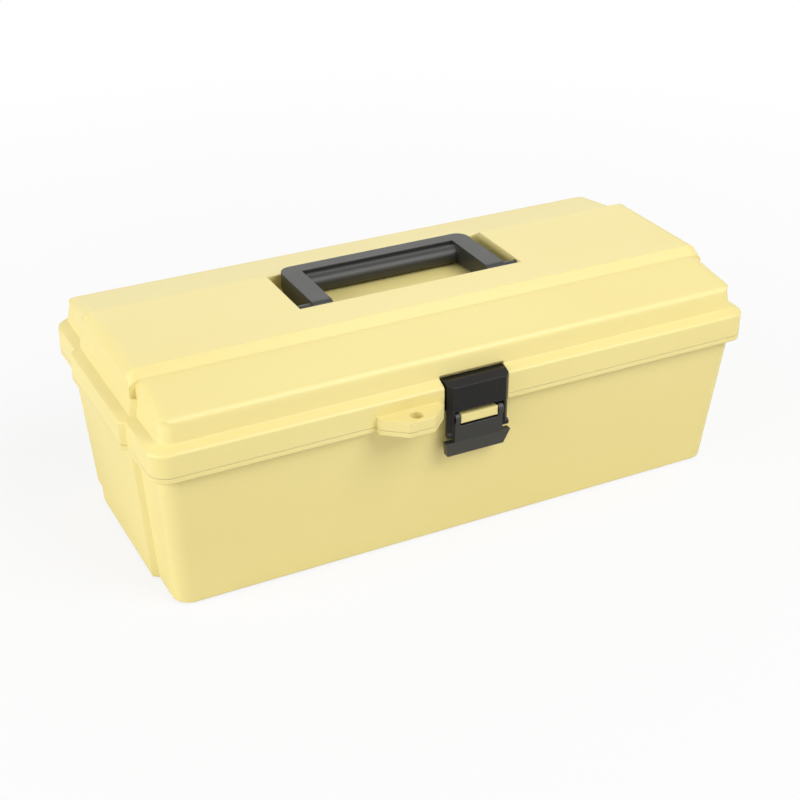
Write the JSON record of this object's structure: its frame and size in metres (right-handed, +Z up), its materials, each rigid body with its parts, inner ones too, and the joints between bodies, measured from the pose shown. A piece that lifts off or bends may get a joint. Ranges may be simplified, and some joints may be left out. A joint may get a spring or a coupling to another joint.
{
  "type": "storage box",
  "caption": "Antistatic plastic storage box with a hinged domed lid, a draw latch, a padlock tab and a folding bail handle that lies flush in the lid.",
  "frame": {"origin": "on the floor below the middle of the closed box's bounding box", "axes": "+X along the box to its right as seen from the latch, +Y from the latch to the hinges, +Z up"},
  "size_m": [0.346, 0.1804, 0.1187],
  "materials": {
    "yellow_plastic": "pale yellow moulded antistatic plastic with a fine satin grain",
    "black_plastic": "black moulded plastic, matt",
    "steel": "plain drawn steel"
  },
  "bodies": {
    "base": {"base": "yellow_plastic", "hinge_pin_left": "steel", "hinge_pin_right": "steel"},
    "lid": {"lid": "yellow_plastic"},
    "handle": {"handle": "black_plastic"},
    "latch_lever": {"latch_lever": "black_plastic"},
    "latch_hook": {"latch_hook": "black_plastic"}
  },
  "joints": [
    {"name": "lid_hinge", "type": "hinge", "parent": "base", "child": "lid", "pos_m": [0, 0.0868, 0.082], "axis": [-1, 0, 0], "range_deg": [0, 100]},
    {"name": "lever_hinge", "type": "hinge", "parent": "base", "child": "latch_lever", "pos_m": [0, -0.0784, 0.0766], "axis": [-1, 0, 0], "range_deg": [0, 80]},
    {"name": "hook_hinge", "type": "hinge", "parent": "latch_lever", "child": "latch_hook", "pos_m": [0, -0.0788, 0.0678], "axis": [1, 0, 0], "range_deg": [0, 128]},
    {"name": "handle_hinge", "type": "hinge", "parent": "lid", "child": "handle", "pos_m": [0, -0.0038, 0.11425], "axis": [1, 0, 0], "range_deg": [0, 90]}
  ],
  "couplings": [
    {"joint": "lever_hinge", "follows": "lid_hinge", "ratio": 0.8},
    {"joint": "hook_hinge", "follows": "lid_hinge", "ratio": 1.28}
  ]
}
